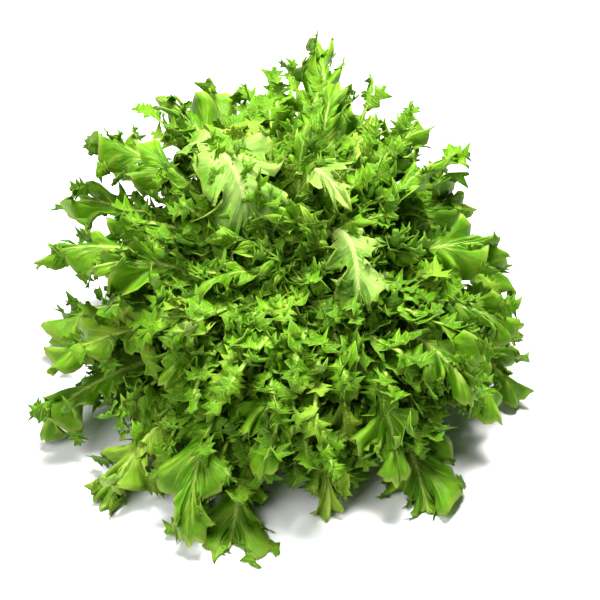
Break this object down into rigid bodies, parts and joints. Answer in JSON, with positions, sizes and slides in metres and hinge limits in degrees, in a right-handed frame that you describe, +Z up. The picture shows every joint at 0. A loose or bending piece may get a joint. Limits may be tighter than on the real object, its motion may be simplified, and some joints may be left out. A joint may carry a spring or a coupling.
{
  "type": "curly endive head",
  "caption": "Loose leafy head: toothed, frilled leaves spiral out from a short cut stem round a dense pale heart; it rests on the stem's flat cut face.",
  "frame": {"origin": "centre of the stem's flat cut face, on the surface that the head rests on", "axes": "+Z up along the stem, -Y towards the front, where the rosette leans and its leaves lie lowest, +X to the right seen from the front"},
  "size_m": [0.3442, 0.3814, 0.1888],
  "materials": {
    "leaf": "satin green leaf with a pale rib, slightly translucent",
    "heart": "satin yellow-green young leaf, slightly translucent",
    "stem": "moist cream cut stem"
  },
  "bodies": {
    "root": {"stem": "stem", "heart": "heart", "leaf_01": "leaf", "leaf_02": "leaf", "leaf_03": "leaf", "leaf_04": "leaf", "leaf_05": "leaf", "leaf_06": "leaf", "leaf_07": "leaf", "leaf_08": "leaf", "leaf_09": "leaf", "leaf_10": "leaf", "leaf_11": "leaf", "leaf_12": "leaf", "leaf_13": "leaf", "leaf_14": "leaf", "leaf_15": "leaf", "leaf_16": "leaf", "leaf_17": "leaf", "leaf_18": "leaf", "leaf_19": "leaf", "leaf_20": "leaf", "leaf_21": "leaf", "leaf_22": "leaf", "leaf_23": "leaf", "leaf_24": "leaf", "leaf_25": "leaf", "leaf_26": "leaf", "leaf_27": "leaf", "leaf_28": "leaf", "leaf_29": "leaf", "leaf_30": "leaf", "leaf_31": "leaf", "leaf_32": "leaf", "leaf_33": "leaf", "leaf_34": "leaf", "leaf_35": "leaf", "leaf_36": "leaf", "leaf_37": "leaf", "leaf_38": "leaf"}
  },
  "joints": []
}
